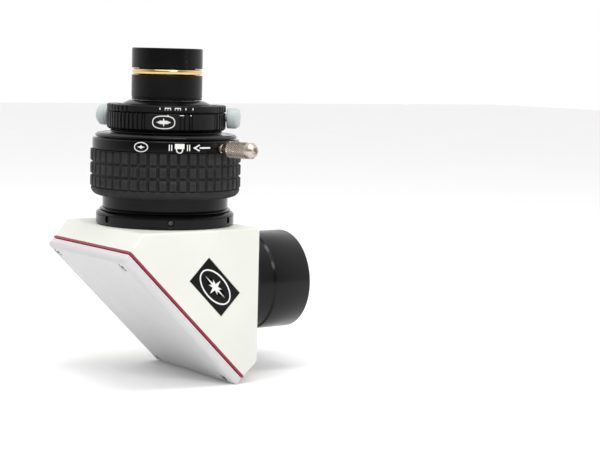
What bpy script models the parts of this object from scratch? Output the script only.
# Two-inch mirror star diagonal with a twist-lock clamp, a focusing
# 1.25-inch eyepiece holder and an eyepiece.  Metres, +Z up.
#
# Frame: the origin is the centre of the nosepiece shoulder, on the
# telescope's optical axis.  +X points into the telescope, +Z is parallel to
# the eyepiece axis, Y is the width.  The two optical axes cross at (AX, 0, 0).

import math

import bmesh
import bpy
from mathutils import Matrix

MM = 0.001
GAP = 0.3                    # clearance kept between neighbouring pieces

# ---------------------------------------------------------------- dimensions
# millimetres; heights are above the telescope's optical axis
AX_X = -37.0                 # eyepiece axis, behind the shoulder plane
HALF_W = 37.5                # housing half width
H_TOP = 32.0                 # housing top face
H_RIGHT = 32.0               # housing front face, ahead of the eyepiece axis
CUT_D = 12.4                 # axis crossing to the sloping joint face
NOSE_OUT = 41.6              # far end of the sloping face
NOSE_IN = 35.2               # where the end face meets the top face
PATH_R = 23.0                # clear light path in the housing
POCKET_U, POCKET_V = 38.5, 27.5

SHIM_T = 0.8
COVER_T = 5.0
COVER_U = 46.4
SCREW_U, SCREW_V = 41.4, 31.7

MIRROR_A, MIRROR_B, MIRROR_T = 36.0, 25.6, 8.0
CELL_U, CELL_V = 35.0, 24.0

FLANGE_R, FLANGE_T = 31.0, 4.7
NOSE_R, NOSE_BORE, NOSE_LEN = 25.4, 22.6, 36.0

BASE_R, BASE_Z1 = 34.2, 38.9
NECK_R = 31.05
SOCKET_R = 25.7              # two-inch socket
SOCKET_FLOOR = 47.3
CLAMP_TOP = 75.1             # underside of the top plate
PLATE_R, PLATE_T = 35.0, 1.9
LOCK_R, LOCK_IN = 36.3, 31.45
LOCK_Z0, LOCK_Z1 = 46.3, 74.6
GRIP_R, GRIP_IN, GRIP_Z0, GRIP_Z1 = 37.25, 33.9, 46.6, 69.0
JAW_Z0, JAW_Z1, JAW_HALF = 55.0, 64.0, 18.0
LEVER_ANGLE, LEVER_Z = -74.4, 71.0

BARREL_R = 25.4              # two-inch barrel of the holder
HUB_R, HUB_Z0, HUB_Z1 = 27.8, 77.3, 78.6
HELIX_R, HELIX_BORE = 21.1, 17.9
RING_R, RING_IN = 29.4, 24.6
RIB_Z0, RIB_Z1 = 78.9, 87.5
SCALE_Z0, SCALE_Z1 = 87.9, 91.2
HOLDER_BORE = 16.2
SCREW_Z = 85.1
THUMB_ANGLES = (127.0, -38.0)
THUMB_R, THUMB_R0, THUMB_R1 = 5.15, 30.0, 36.6

EYE_BARREL_R = 15.875        # 1.25-inch barrel
EYE_R = 17.45
EYE_Z0, EYE_Z1 = 93.6, 118.8
GOLD_Z0, GOLD_Z1 = 105.9, 108.6

SEG = 32                     # facets round a large ring
SEG_S = 24                   # facets round a small ring

# ---------------------------------------------------------------- start clean
for ob in list(bpy.data.objects):
    bpy.data.objects.remove(ob, do_unlink=True)

scene = bpy.context.scene
parts = bpy.data.collections.new("star_diagonal")
tools = bpy.data.collections.new("cutters")
scene.collection.children.link(parts)
scene.collection.children.link(tools)


def material(name, colour, rough, metal=0.0, alpha=1.0):
    m = bpy.data.materials.new(name)
    m.use_nodes = True
    b = m.node_tree.nodes["Principled BSDF"]
    b.inputs["Base Color"].default_value = (*colour, 1.0)
    b.inputs["Roughness"].default_value = rough
    b.inputs["Metallic"].default_value = metal
    b.inputs["Alpha"].default_value = alpha
    return m


WHITE = ((0.86, 0.86, 0.83), 0.38, 0.0)
BLACK = ((0.012, 0.012, 0.013), 0.32, 0.6)
RUBBER = ((0.014, 0.014, 0.014), 0.72, 0.0)
STEEL = ((0.55, 0.55, 0.56), 0.3, 1.0)
CHROME = ((0.80, 0.80, 0.82), 0.12, 1.0)
GREY = ((0.36, 0.38, 0.39), 0.45, 0.0)
CHAMPAGNE = ((0.62, 0.56, 0.49), 0.32, 1.0)
BRASS = ((0.70, 0.52, 0.24), 0.3, 1.0)
CRIMSON = ((0.42, 0.02, 0.06), 0.4, 0.0)
GLASS = ((0.80, 0.88, 0.92), 0.03, 0.0, 0.4)
MIRROR = ((0.92, 0.93, 0.94), 0.03, 1.0)
NYLON = ((0.75, 0.74, 0.70), 0.5, 0.0)


# ------------------------------------------------------------------- helpers
def empty(name, loc=(0, 0, 0), rot=(0, 0, 0), parent=None):
    e = bpy.data.objects.new(name, None)
    e.empty_display_size = 0.01
    parts.objects.link(e)
    e.parent = parent
    e.location = [v * MM for v in loc]
    e.rotation_euler = rot
    return e


def add(name, mesh, look=None, parent=None, loc=(0, 0, 0), rot=(0, 0, 0),
        tool=False):
    ob = bpy.data.objects.new(name, mesh)
    (tools if tool else parts).objects.link(ob)
    ob.parent = parent
    ob.location = [v * MM for v in loc]
    ob.rotation_euler = rot
    if tool:
        ob.hide_render = True
        ob.display_type = 'WIRE'
    else:
        ob.data.materials.append(material("mat_" + name, *look))
    return ob


def smooth(ob, angle=32.0):
    ob.data.shade_smooth()
    ob.data.set_sharp_from_angle(angle=math.radians(angle))
    return ob


def turned(name, profile, look=None, parent=None, loc=(0, 0, 0),
           rot=(0, 0, 0), seg=SEG, closed=True, tool=False):
    """A profile of (radius, height) spun about Z.  It runs down the outer
    side and back up the bore; an open profile starts and ends on the axis."""
    me = bpy.data.meshes.new(name)
    pts = [(r * MM, 0.0, z * MM) for r, z in profile]
    n = len(pts)
    edges = [(i, i + 1) for i in range(n - 1)]
    if closed:
        edges.append((n - 1, 0))
    me.from_pydata(pts, edges, [])
    ob = add(name, me, look, parent, loc, rot, tool)
    s = ob.modifiers.new("spin", 'SCREW')
    s.axis = 'Z'
    s.angle = math.tau
    s.steps = seg
    s.render_steps = seg
    s.use_merge_vertices = True
    s.merge_threshold = 0.00001
    s.use_smooth_shade = True
    return ob


def ring(r_out, r_in, z0, z1, c=0.4, ci=0.0):
    """Ring profile with chamfered outer edges (c) and bore edges (ci)."""
    p = [(r_out - c, z1), (r_out, z1 - c), (r_out, z0 + c), (r_out - c, z0)]
    if c == 0:
        p = [(r_out, z1), (r_out, z0)]
    if ci:
        p += [(r_in + ci, z0), (r_in, z0 + ci), (r_in, z1 - ci), (r_in + ci, z1)]
    else:
        p += [(r_in, z0), (r_in, z1)]
    return p


def boxmesh(name, lo, hi):
    me = bpy.data.meshes.new(name)
    bm = bmesh.new()
    bmesh.ops.create_cube(bm, size=1.0)
    for v in bm.verts:
        for k in range(3):
            v.co[k] = (lo[k] + (v.co[k] + 0.5) * (hi[k] - lo[k])) * MM
    bm.to_mesh(me)
    bm.free()
    return me


def cylmesh(name, items, seg=12):
    """Several separate cylinders: (matrix, radius, z0, z1) in millimetres."""
    me = bpy.data.meshes.new(name)
    bm = bmesh.new()
    for mat, r, z0, z1 in items:
        m = mat @ Matrix.Translation((0, 0, 0.5 * (z0 + z1)))
        bmesh.ops.create_cone(bm, cap_ends=True, segments=seg, radius1=r,
                              radius2=r, depth=z1 - z0, matrix=m)
    bmesh.ops.scale(bm, vec=(MM, MM, MM), verts=bm.verts)
    bmesh.ops.recalc_face_normals(bm, faces=bm.faces)
    bm.to_mesh(me)
    bm.free()
    return me


def cut(ob, tool):
    m = ob.modifiers.new("cut_" + tool.name, 'BOOLEAN')
    m.operation = 'DIFFERENCE'
    m.solver = 'EXACT'
    m.object = tool
    return m


def outline(name, pts, half, look, parent, loc=(0, 0, 0), rot=(0, 0, 0),
            tool=False):
    """A flat outline extruded half either side of its plane, as a mesh."""
    cu = bpy.data.curves.new(name, 'CURVE')
    cu.dimensions = '2D'
    cu.fill_mode = 'BOTH'
    cu.extrude = half * MM
    sp = cu.splines.new('POLY')
    sp.points.add(len(pts) - 1)
    for p, (x, y) in zip(sp.points, pts):
        p.co = (x * MM, y * MM, 0.0, 1.0)
    sp.use_cyclic_u = True
    tmp = bpy.data.objects.new(name + "_outline", cu)
    parts.objects.link(tmp)
    tmp.parent = parent
    tmp.location = [v * MM for v in loc]
    tmp.rotation_euler = rot
    bpy.context.view_layer.update()
    dg = bpy.context.evaluated_depsgraph_get()
    me = bpy.data.meshes.new_from_object(tmp.evaluated_get(dg))
    bm = bmesh.new()
    bm.from_mesh(me)
    bmesh.ops.remove_doubles(bm, verts=bm.verts, dist=0.00001)
    bmesh.ops.recalc_face_normals(bm, faces=bm.faces)
    bm.to_mesh(me)
    bm.free()
    me.materials.clear()
    ob = add(name, me, look, tool=tool)
    ob.matrix_world = tmp.matrix_world.copy()
    bpy.data.objects.remove(tmp, do_unlink=True)
    return ob


def bevel_where(ob, test, width, seg=2):
    """Round the edges whose both ends pass the test (local millimetres)."""
    bm = bmesh.new()
    bm.from_mesh(ob.data)
    picked = [e for e in bm.edges
              if all(test(v.co / MM) for v in e.verts)
              and e.calc_face_angle(0.0) > 0.3]
    bmesh.ops.bevel(bm, geom=picked, offset=width * MM, segments=seg,
                    profile=0.5, affect='EDGES')
    bm.to_mesh(ob.data)
    bm.free()


def polar(r, deg):
    a = math.radians(deg)
    return r * math.cos(a), r * math.sin(a)


def radial(deg, z):
    """Local Z turned to point outward at this angle and height."""
    return (Matrix.Translation((0, 0, z)) @ Matrix.Rotation(math.radians(deg), 4, 'Z')
            @ Matrix.Rotation(math.radians(90), 4, 'Y'))


# ------------------------------------------------------------ reference axes
EYE_AXIS = empty("axis_eyepiece", (AX_X, 0, 0))
TEL_AXIS = empty("axis_telescope", (0, 0, 0), (0, math.radians(90), 0))
# local X runs down the slope, local Y across it, local -Z out of the cover
SLOPE = empty("axis_slope", (AX_X, 0, 0), (0, math.radians(45), 0))

# ------------------------------------------------------------------- housing
S2 = math.sqrt(2.0)
p1 = (-NOSE_OUT, NOSE_OUT - S2 * CUT_D)
p4 = (p1[1], p1[0])
section = [p1, p4, (H_RIGHT, -NOSE_IN), (H_RIGHT, H_TOP), (-NOSE_IN, H_TOP)]
housing = outline("housing", section, HALF_W, WHITE, EYE_AXIS,
                  rot=(math.radians(90), 0, 0))
bevel_where(housing, lambda c: c.x + c.y > -S2 * CUT_D + 1.0, 0.9, 2)
smooth(housing)

bore_z = add("cut_bore_z", cylmesh("cut_bore_z", [
    (Matrix(), PATH_R, -4.0, H_TOP + 3)], SEG), parent=EYE_AXIS, tool=True)
bore_x = add("cut_bore_x", cylmesh("cut_bore_x", [
    (Matrix.Rotation(math.radians(90), 4, 'Y'), PATH_R, -4.0, H_RIGHT + 3)],
    SEG), parent=EYE_AXIS, tool=True)
pocket = add("cut_mirror_pocket", boxmesh("cut_mirror_pocket",
             (-POCKET_U, -POCKET_V, -CUT_D - 3), (POCKET_U, POCKET_V, 1.2)),
             parent=SLOPE, tool=True)
cut(housing, bore_z)
cut(housing, bore_x)
cut(housing, pocket)

corners = [(su * SCREW_U, sv * SCREW_V) for su in (-1, 1) for sv in (-1, 1)]
holes = add("cut_housing_holes", cylmesh("cut_housing_holes", [
    (Matrix.Translation((u, v, 0)), 1.5, -CUT_D - 1, -CUT_D + 5.5)
    for u, v in corners], 12), parent=SLOPE, tool=True)
cut(housing, holes)

# recess for the badge on the near side wall; long side along the slope
BADGE_C, BADGE_L, BADGE_H = (5.85, 4.2), 25.7, 14.9
BADGE = empty("axis_badge", (AX_X + BADGE_C[0], -HALF_W, BADGE_C[1]),
              (0, math.radians(45), 0))
recess = add("cut_badge_recess", boxmesh("cut_badge_recess",
             (-BADGE_L / 2 - GAP, -1.0, -BADGE_H / 2 - GAP),
             (BADGE_L / 2 + GAP, 0.7, BADGE_H / 2 + GAP)),
             parent=BADGE, tool=True)
cut(housing, recess)
badge = add("badge_plate", boxmesh("badge_plate",
            (-BADGE_L / 2, -0.15, -BADGE_H / 2),
            (BADGE_L / 2, 0.4, BADGE_H / 2)), BLACK, BADGE)

# ------------------------------------------------- sloping cover and mirror
D0 = CUT_D + GAP
shim = add("shim_plate", boxmesh("shim_plate",
           (-COVER_U + 0.1, -HALF_W + 0.1, -D0 - SHIM_T),
           (COVER_U - 0.1, HALF_W - 0.1, -D0)), CRIMSON, SLOPE)
window = add("cut_shim_window", boxmesh("cut_shim_window",
             (-CELL_U - GAP, -CELL_V - GAP, -D0 - 3),
             (CELL_U + GAP, CELL_V + GAP, -D0 + 3)), parent=SLOPE, tool=True)
shim_holes = add("cut_shim_holes", cylmesh("cut_shim_holes", [
    (Matrix.Translation((u, v, 0)), 1.5, -D0 - 4, -D0 + 3)
    for u, v in corners], 12), parent=SLOPE, tool=True)
cut(shim, window)
cut(shim, shim_holes)

D1 = D0 + SHIM_T + GAP
D2 = D1 + COVER_T
cover = add("cover_plate", boxmesh("cover_plate",
            (-COVER_U, -HALF_W, -D2), (COVER_U, HALF_W, -D1)), WHITE, SLOPE)
bevel_where(cover, lambda c: c.z < -D2 + 0.1, 2.8, 4)
bevel_where(cover, lambda c: abs(c.x) > COVER_U - 0.1
            and abs(c.y) > HALF_W - 0.1, 0.9, 2)
smooth(cover)
cover_holes = add("cut_cover_holes", cylmesh("cut_cover_holes", [
    (Matrix.Translation((u, v, 0)), 1.5, -D2 - 3, -D1 + 3)
    for u, v in corners], 12), parent=SLOPE, tool=True)
cover_sinks = add("cut_cover_sinks", cylmesh("cut_cover_sinks", [
    (Matrix.Translation((u, v, 0)), 2.45, -D2 - 3, -D2 + 2.6)
    for u, v in corners], 12), parent=SLOPE, tool=True)
cut(cover, cover_sinks)
cut(cover, cover_holes)

# cap screws: head outward (-Z), socket in the head, shank into the housing
HEAD_R, SHANK_R = 2.1, 1.15

# cap screws: head outward (-Z) in its sink, shank into the housing
HEAD_R, SHANK_R, KEY_R = 2.1, 1.15, 1.05
head_out, head_in, tip = -D2 + 0.1, -D2 + 2.2, -CUT_D + 4.6
for k, (u, v) in enumerate(corners, 1):
    turned("cover_screw_%d" % k, [
        (0.0, tip), (SHANK_R, tip), (SHANK_R, head_in), (HEAD_R, head_in),
        (HEAD_R, head_out + 0.3), (HEAD_R - 0.3, head_out),
        (KEY_R, head_out), (KEY_R, head_out + 0.9), (0.0, head_out + 0.9)],
        STEEL, SLOPE, loc=(u, v, 0), seg=8, closed=False)

# mirror, its three elastic pads and the cell behind it
ell = [(MIRROR_A * math.cos(math.tau * i / 36),
        MIRROR_B * math.sin(math.tau * i / 36)) for i in range(36)]
mirror = outline("mirror", ell, MIRROR_T / 2, MIRROR, SLOPE,
                 loc=(0, 0, -MIRROR_T / 2))
smooth(mirror)
for k, (u, v) in enumerate(((-20, 0), (12, 12), (12, -12)), 1):
    turned("mirror_pad_%d" % k, [
        (0.0, -MIRROR_T - GAP), (5.0, -MIRROR_T - GAP),
        (5.0, -MIRROR_T - GAP - 1.0), (0.0, -MIRROR_T - GAP - 1.0)],
        RUBBER, SLOPE, loc=(u, v, 0), seg=8, closed=False)
CELL_D0 = MIRROR_T + 2 * GAP + 1.0
cell = add("mirror_cell", boxmesh("mirror_cell",
           (-CELL_U, -CELL_V, -D1 + GAP), (CELL_U, CELL_V, -CELL_D0)),
           BLACK, SLOPE)

# --------------------------------------------------------- telescope side
flange = turned("telescope_flange", [
    (FLANGE_R - 0.8, 0.0), (FLANGE_R, -0.8), (FLANGE_R, -FLANGE_T),
    (PATH_R, -FLANGE_T), (PATH_R, -1.4), (NOSE_R + 0.05, -1.4),
    (NOSE_R + 0.05, 0.0)], BLACK, TEL_AXIS)
nose = turned("nosepiece", [
    (NOSE_R - 0.7, NOSE_LEN), (NOSE_R, NOSE_LEN - 0.7),
    (NOSE_R, 14.5), (NOSE_R - 0.7, 13.2), (NOSE_R - 0.7, 5.2), (NOSE_R, 3.9),
    (NOSE_R, GAP), (NOSE_R - 0.3, GAP - 1.3), (NOSE_BORE, GAP - 1.3),
    (NOSE_BORE, NOSE_LEN - 6.0), (NOSE_BORE + 1.1, NOSE_LEN - 5.6),
    (NOSE_BORE + 1.1, NOSE_LEN)], BLACK, TEL_AXIS)

# ------------------------------------------------------- ring on the housing
base = turned("base_ring", [
    (BASE_R - 1.6, BASE_Z1), (BASE_R, BASE_Z1 - 1.3), (BASE_R, H_TOP + GAP + 0.5),
    (BASE_R - 0.5, H_TOP + GAP), (PATH_R, H_TOP + GAP), (PATH_R, BASE_Z1)],
    BLACK, EYE_AXIS)
SET_ANGLES = [-117.0 + 60 * k for k in range(6)]
SET_Z = 35.4
set_holes = add("cut_set_holes", cylmesh("cut_set_holes", [
    (radial(a, SET_Z), 1.65, BASE_R - 5.0, BASE_R + 2) for a in SET_ANGLES], 8),
    parent=EYE_AXIS, tool=True)
cut(base, set_holes)
for k, a in enumerate(SET_ANGLES, 1):
    turned("set_screw_%d" % k, [
        (0.0, BASE_R - 1.9), (0.65, BASE_R - 1.9), (0.65, BASE_R - 0.9),
        (1.25, BASE_R - 0.9), (1.25, BASE_R - 4.2), (0.9, BASE_R - 4.6),
        (0.0, BASE_R - 4.6)], STEEL, EYE_AXIS, loc=(0, 0, SET_Z),
        rot=(0, math.radians(90), math.radians(a)), seg=8, closed=False)

# --------------------------------------------------------------- twist lock
body_z0 = BASE_Z1 + GAP
clamp_body = turned("clamp_body", [
    (NECK_R, CLAMP_TOP - GAP), (NECK_R, body_z0), (PATH_R, body_z0),
    (PATH_R, SOCKET_FLOOR), (SOCKET_R, SOCKET_FLOOR),
    (SOCKET_R, CLAMP_TOP - GAP)], BLACK, EYE_AXIS)
JAW_ANGLES = (-90.0, 30.0, 150.0)


def sector(name, r0, r1, z0, z1, half_deg, angle, n=4, look=None, tool=False):
    a = [math.radians(angle - half_deg + 2 * half_deg * i / n)
         for i in range(n + 1)]
    pts = [(r1 * math.cos(t), r1 * math.sin(t)) for t in a]
    pts += [(r0 * math.cos(t), r0 * math.sin(t)) for t in reversed(a)]
    return outline(name, pts, (z1 - z0) / 2, look, EYE_AXIS,
                   loc=(0, 0, (z0 + z1) / 2), tool=tool)


for k, a in enumerate(JAW_ANGLES, 1):
    w = sector("cut_jaw_window_%d" % k, SOCKET_R - 2, NECK_R + 2,
               JAW_Z0 - GAP, JAW_Z1 + GAP, JAW_HALF + 1.2, a, tool=True)
    cut(clamp_body, w)
    j = sector("clamp_jaw_%d" % k, SOCKET_R + 0.05, NECK_R - 0.35, JAW_Z0,
               JAW_Z1, JAW_HALF, a, look=BRASS)
    smooth(j)

top_plate = turned("clamp_top_plate",
                   ring(PLATE_R, SOCKET_R, CLAMP_TOP, CLAMP_TOP + PLATE_T, 0.2),
                   BLACK, EYE_AXIS)

LOCK = empty("joint_lock", (0, 0, 0), parent=EYE_AXIS)
lock_ring = turned("lock_ring", [
    (LOCK_R - 0.4, LOCK_Z1), (LOCK_R, LOCK_Z1 - 0.4), (LOCK_R, GRIP_Z1 + GAP),
    (GRIP_IN - GAP, GRIP_Z1 + GAP), (GRIP_IN - GAP, LOCK_Z0 + 0.4),
    (GRIP_IN - GAP - 0.4, LOCK_Z0), (LOCK_IN, LOCK_Z0), (LOCK_IN, LOCK_Z1)],
    BLACK, LOCK)
lever_hole = add("cut_lever_hole", cylmesh("cut_lever_hole", [
    (radial(LEVER_ANGLE, LEVER_Z), 1.8, LOCK_R - 3.9, LOCK_R + 3)], 12),
    parent=LOCK, tool=True)
cut(lock_ring, lever_hole)
grip_pts = [(GRIP_R - 0.8, GRIP_Z1), (GRIP_R, GRIP_Z1 - 1.1)]
for k in range(5):                       # rounded lower edge
    t = math.radians(90 * k / 4)
    rad_r, rad_z = GRIP_R - GRIP_IN - 0.1, 5.0
    grip_pts.append((GRIP_R - rad_r + rad_r * math.cos(t),
                     GRIP_Z0 + rad_z - rad_z * math.sin(t)))
grip_pts += [(GRIP_IN, GRIP_Z0 + 0.3), (GRIP_IN, GRIP_Z1)]
grip = turned("rubber_grip", grip_pts, RUBBER, LOCK)

LEVER = empty("lever_axis", (0, 0, LEVER_Z),
              (0, math.radians(90), math.radians(LEVER_ANGLE)), LOCK)
stem = turned("lever_stem", [
    (0.0, 44.0), (1.5, 44.0), (1.5, LOCK_R - 3.5), (0.0, LOCK_R - 3.5)],
    CHAMPAGNE, LEVER, seg=12, closed=False)
knob = turned("lever_knob", [
    (3.3, 57.3), (4.0, 56.6), (4.0, 40.6), (3.2, 38.4), (2.4, 37.9),
    (1.8, 37.9), (1.8, 44.4), (0.0, 44.4), (0.0, 56.1), (1.4, 56.1),
    (1.4, 57.3)], CHAMPAGNE, LEVER, seg=16, closed=True)

# ------------------------------------------- focusing 1.25-inch holder
ADAPT = empty("joint_adapter", parent=EYE_AXIS)
adapter = turned("adapter_barrel", [
    (HUB_R - 0.5, HUB_Z1), (HUB_R, HUB_Z1 - 0.5), (HUB_R, HUB_Z0 + 0.4),
    (HUB_R - 0.4, HUB_Z0), (BARREL_R, HUB_Z0), (BARREL_R, 69.0),
    (BARREL_R - 0.6, 67.8), (BARREL_R - 0.6, 60.2), (BARREL_R, 59.0),
    (BARREL_R, 48.4), (BARREL_R - 0.7, SOCKET_FLOOR + GAP),
    (PATH_R - 0.4, SOCKET_FLOOR + GAP), (PATH_R - 0.4, 54.0),
    (HELIX_R - 2.4, 56.0), (HELIX_R - 2.4, 57.2), (HELIX_R + GAP, 57.2),
    (HELIX_R + GAP, HUB_Z1)], BLACK, ADAPT)

FOCUS = empty("joint_focus", parent=ADAPT)
helix = turned("helix_sleeve", ring(HELIX_R, HELIX_BORE, 62.0, RIB_Z0 - 0.4, 0.4),
               BRASS, FOCUS, seg=SEG_S)
shank_axes = [(Matrix.Rotation(math.radians(a), 4, 'Z')) for a in THUMB_ANGLES]
holder = turned("holder_tube", [
    (18.2, 93.2), (21.3, SCALE_Z1 + 0.3), (RING_IN - GAP, SCALE_Z1 + 0.3),
    (RING_IN - GAP, RIB_Z0), (HELIX_BORE - GAP, RIB_Z0),
    (HELIX_BORE - GAP, 62.0), (HOLDER_BORE, 62.0), (HOLDER_BORE, 82.3),
    (17.6, 82.3), (17.6, 87.5), (HOLDER_BORE, 87.5), (HOLDER_BORE, 93.2)],
    BLACK, FOCUS)
ribbed = turned("focus_ring", [
    (RING_R, RIB_Z1), (RING_R, RIB_Z0 + 1.0), (RING_R - 1.0, RIB_Z0),
    (RING_IN, RIB_Z0), (RING_IN, RIB_Z1)], BLACK, FOCUS)
scale = turned("scale_ring", ring(RING_R, RING_IN, SCALE_Z0, SCALE_Z1, 0.35),
               BLACK, FOCUS)
shank_cut = add("cut_shank_holes", cylmesh("cut_shank_holes", [
    (radial(a, SCREW_Z), 2.0, 15.0, 34.0) for a in THUMB_ANGLES], 12),
    parent=FOCUS, tool=True)
cut(holder, shank_cut)
cut(ribbed, shank_cut)
# split clamping ring in the holder's groove, open at one side
comp = turned("compression_ring", ring(17.25, 16.2, 82.6, 87.2, 0.0), BRASS,
              FOCUS, seg=SEG_S)
slot = add("cut_compression_slot", boxmesh("cut_compression_slot",
           (10, -1.0, 81), (20, 1.0, 89)), parent=FOCUS, rot=(0, 0, math.radians(50)),
           tool=True)
cut(comp, slot)

for tag, a in zip(("a", "b"), THUMB_ANGLES):
    ax = empty("joint_thumbscrew_" + tag, (0, 0, SCREW_Z),
               (0, math.radians(90), math.radians(a)), FOCUS)
    turned("thumbscrew_%s_shank" % tag, [
        (0.0, 33.0), (1.7, 33.0), (1.7, 18.0), (1.4, 17.55), (0.0, 17.55)],
        STEEL, ax, seg=12, closed=False)
    turned("thumbscrew_%s_head" % tag, [
        (0.0, THUMB_R1), (THUMB_R - 2.4, THUMB_R1), (THUMB_R - 0.7, THUMB_R1 - 0.7),
        (THUMB_R, THUMB_R1 - 2.4), (THUMB_R, THUMB_R0 + 1.4),
        (THUMB_R - 1.2, THUMB_R0), (2.0, THUMB_R0), (2.0, 33.3), (0.0, 33.3)],
        GREY, ax, seg=16, closed=False)

# ------------------------------------------------------------------ eyepiece
EYE = empty("joint_eyepiece", parent=FOCUS)
eye_barrel = turned("eyepiece_barrel", [
    (EYE_BARREL_R, EYE_Z0 - GAP), (EYE_BARREL_R, 88.6), (EYE_BARREL_R - 0.45, 87.9),
    (EYE_BARREL_R - 0.45, 81.2), (EYE_BARREL_R, 80.5), (EYE_BARREL_R, 66.0),
    (EYE_BARREL_R - 0.5, 65.5), (14.6, 65.5), (14.6, 70.5), (13.9, 71.0),
    (13.9, EYE_Z0 - GAP)], CHROME, EYE, seg=SEG_S)
eye_body = turned("eyepiece_body", [
    (EYE_R, GOLD_Z0 - GAP), (EYE_R, EYE_Z0 + 0.3), (EYE_R - 0.3, EYE_Z0),
    (14.2, EYE_Z0), (14.2, GOLD_Z0 - GAP)], BLACK, EYE, seg=SEG)
gold = turned("gold_ring", ring(EYE_R - 0.25, 14.2, GOLD_Z0, GOLD_Z1, 0.0),
              BRASS, EYE, seg=SEG)
eye_top = turned("eye_shell", [
    (EYE_R - 0.9, EYE_Z1), (EYE_R - 0.25, EYE_Z1 - 0.25), (EYE_R, EYE_Z1 - 0.9),
    (EYE_R, GOLD_Z1 + GAP), (14.2, GOLD_Z1 + GAP), (14.2, 111.0), (11.0, 111.0),
    (11.0, 115.0), (9.4, 115.0), (13.4, EYE_Z1 - 0.2)], BLACK, EYE, seg=SEG)
eye_lens = turned("eye_lens", [
    (0.0, 114.6), (5.5, 114.1), (10.6, 112.8), (10.6, 111.1), (0.0, 111.1)],
    GLASS, EYE, seg=24, closed=False)
spacer = turned("lens_spacer", ring(11.8, 10.0, 107.2, 110.6, 0.0), BLACK,
                EYE, seg=24)
triplet = turned("field_triplet", [
    (0.0, 106.9), (6.0, 106.2), (11.8, 104.4), (11.8, 99.0), (6.0, 97.2),
    (0.0, 96.6)], GLASS, EYE, seg=24, closed=False)
sleeve = turned("lens_sleeve", ring(13.9, 12.1, 96.2, 110.6, 0.0), BLACK, EYE,
                seg=24)
stop = turned("field_stop", ring(13.9, 7.0, 94.4, 95.9, 0.0), BLACK, EYE,
              seg=24)
